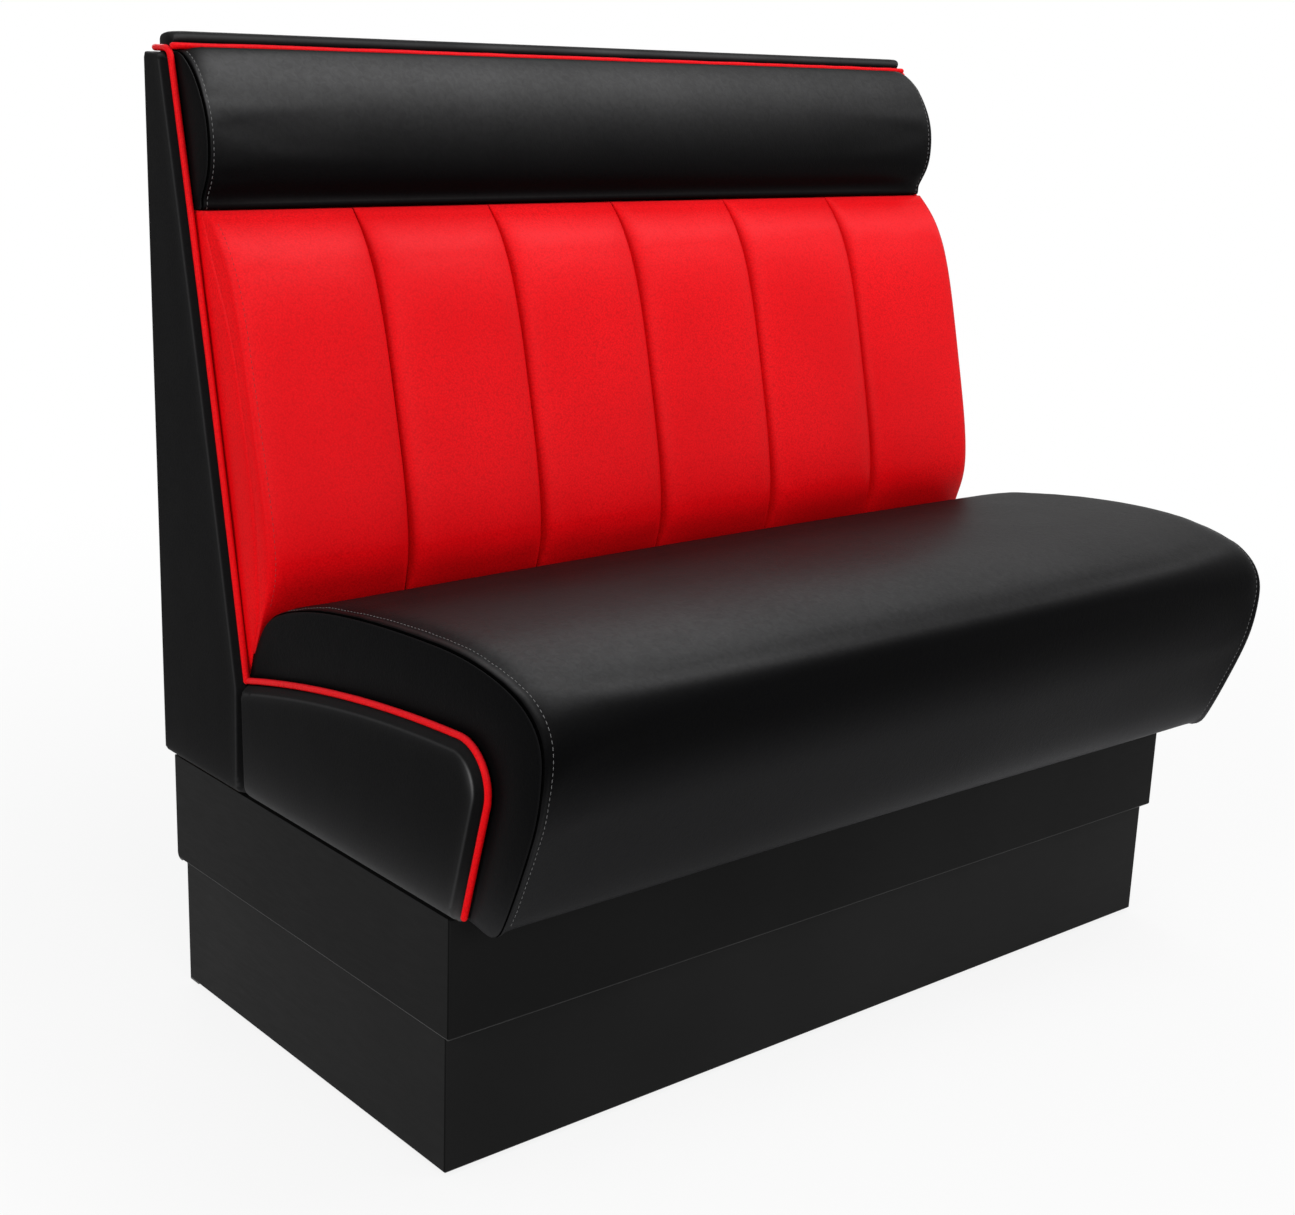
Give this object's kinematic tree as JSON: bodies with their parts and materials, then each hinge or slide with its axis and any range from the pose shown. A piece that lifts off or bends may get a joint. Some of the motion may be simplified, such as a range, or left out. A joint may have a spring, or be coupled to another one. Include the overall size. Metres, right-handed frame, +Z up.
{
  "type": "restaurant booth seat",
  "caption": "Single-sided restaurant booth bench with a channelled back, padded head roll, welted end panels, rolled seat cushion and a two-tier closed base on levelling glides.",
  "frame": {"origin": "on the floor, at the middle of the bench's footprint, under the middle of its bounding box", "axes": "+X along the bench to the right as seen from the front, +Y from the seat's front edge to the back, +Z up"},
  "size_m": [0.952, 0.5896, 0.9147],
  "materials": {
    "black_laminate": "satin",
    "black_vinyl": "satin",
    "panel_vinyl": "satin",
    "red_vinyl": "satin",
    "red_welt": "satin",
    "plywood": "matte",
    "foam": "matte",
    "spring_steel": "satin",
    "zinc_steel": "satin",
    "foot_nylon": "matte"
  },
  "bodies": {
    "booth_frame": {"back_board": "plywood", "back_bolts": "zinc_steel", "back_bottom_rail": "plywood", "back_channel_1": "red_vinyl", "back_channel_2": "red_vinyl", "back_channel_3": "red_vinyl", "back_channel_4": "red_vinyl", "back_channel_5": "red_vinyl", "back_channel_6": "red_vinyl", "back_left_boxing": "red_vinyl", "back_left_welt": "red_welt", "back_left_wing": "panel_vinyl", "back_rear_panel": "panel_vinyl", "back_ribs": "plywood", "back_right_boxing": "red_vinyl", "back_right_welt": "red_welt", "back_right_wing": "panel_vinyl", "back_top_rail": "plywood", "base_screws": "zinc_steel", "glide_nuts": "zinc_steel", "headroll_cover": "black_vinyl", "headroll_ends": "black_vinyl", "headroll_foam": "foam", "plinth_corner_posts": "plywood", "plinth_front": "black_laminate", "plinth_left_side": "black_laminate", "plinth_rear": "black_laminate", "plinth_right_side": "black_laminate", "riser_floor": "plywood", "riser_front": "black_laminate", "riser_left_side": "black_laminate", "riser_rear": "black_laminate", "riser_rear_rail": "plywood", "riser_right_side": "black_laminate", "top_cap": "panel_vinyl", "top_welt": "red_welt", "wing_screws": "zinc_steel"},
    "seat_unit": {"seat_centre_rail": "plywood", "seat_cleats": "plywood", "seat_cover": "black_vinyl", "seat_foam": "foam", "seat_front_rail": "plywood", "seat_left_boxing": "black_vinyl", "seat_left_panel": "panel_vinyl", "seat_left_welt": "red_welt", "seat_rear_rail": "plywood", "seat_right_boxing": "black_vinyl", "seat_right_panel": "panel_vinyl", "seat_right_welt": "red_welt", "seat_side_rails": "plywood", "seat_springs": "spring_steel", "spring_clips": "spring_steel"},
    "foot_front_left": {"glide_foot_front_left": "foot_nylon"},
    "stem_front_left": {"glide_stem_front_left": "zinc_steel"},
    "foot_front_right": {"glide_foot_front_right": "foot_nylon"},
    "stem_front_right": {"glide_stem_front_right": "zinc_steel"},
    "foot_rear_left": {"glide_foot_rear_left": "foot_nylon"},
    "stem_rear_left": {"glide_stem_rear_left": "zinc_steel"},
    "foot_rear_right": {"glide_foot_rear_right": "foot_nylon"},
    "stem_rear_right": {"glide_stem_rear_right": "zinc_steel"}
  },
  "joints": [
    {"name": "seat_lift", "type": "slide", "parent": "booth_frame", "child": "seat_unit", "axis": [0, -0.5, 0.866], "range_m": [0, 0.25]},
    {"name": "glide_front_left_extend", "type": "slide", "parent": "booth_frame", "child": "foot_front_left", "axis": [0, 0, -1], "range_m": [0, 0.012]},
    {"name": "glide_front_left_turn", "type": "hinge", "parent": "foot_front_left", "child": "stem_front_left", "pos_m": [-0.435, -0.1445, 0.02], "axis": [0, 0, -1], "range_deg": [0, 3456]},
    {"name": "glide_front_right_extend", "type": "slide", "parent": "booth_frame", "child": "foot_front_right", "axis": [0, 0, -1], "range_m": [0, 0.012]},
    {"name": "glide_front_right_turn", "type": "hinge", "parent": "foot_front_right", "child": "stem_front_right", "pos_m": [0.435, -0.1445, 0.02], "axis": [0, 0, -1], "range_deg": [0, 3456]},
    {"name": "glide_rear_left_extend", "type": "slide", "parent": "booth_frame", "child": "foot_rear_left", "axis": [0, 0, -1], "range_m": [0, 0.012]},
    {"name": "glide_rear_left_turn", "type": "hinge", "parent": "foot_rear_left", "child": "stem_rear_left", "pos_m": [-0.435, 0.2475, 0.02], "axis": [0, 0, -1], "range_deg": [0, 3456]},
    {"name": "glide_rear_right_extend", "type": "slide", "parent": "booth_frame", "child": "foot_rear_right", "axis": [0, 0, -1], "range_m": [0, 0.012]},
    {"name": "glide_rear_right_turn", "type": "hinge", "parent": "foot_rear_right", "child": "stem_rear_right", "pos_m": [0.435, 0.2475, 0.02], "axis": [0, 0, -1], "range_deg": [0, 3456]}
  ],
  "couplings": [
    {"joint": "glide_front_left_turn", "follows": "glide_front_left_extend", "rad_per_m": 5026.5},
    {"joint": "glide_front_right_turn", "follows": "glide_front_right_extend", "rad_per_m": 5026.5},
    {"joint": "glide_rear_left_turn", "follows": "glide_rear_left_extend", "rad_per_m": 5026.5},
    {"joint": "glide_rear_right_turn", "follows": "glide_rear_right_extend", "rad_per_m": 5026.5}
  ]
}
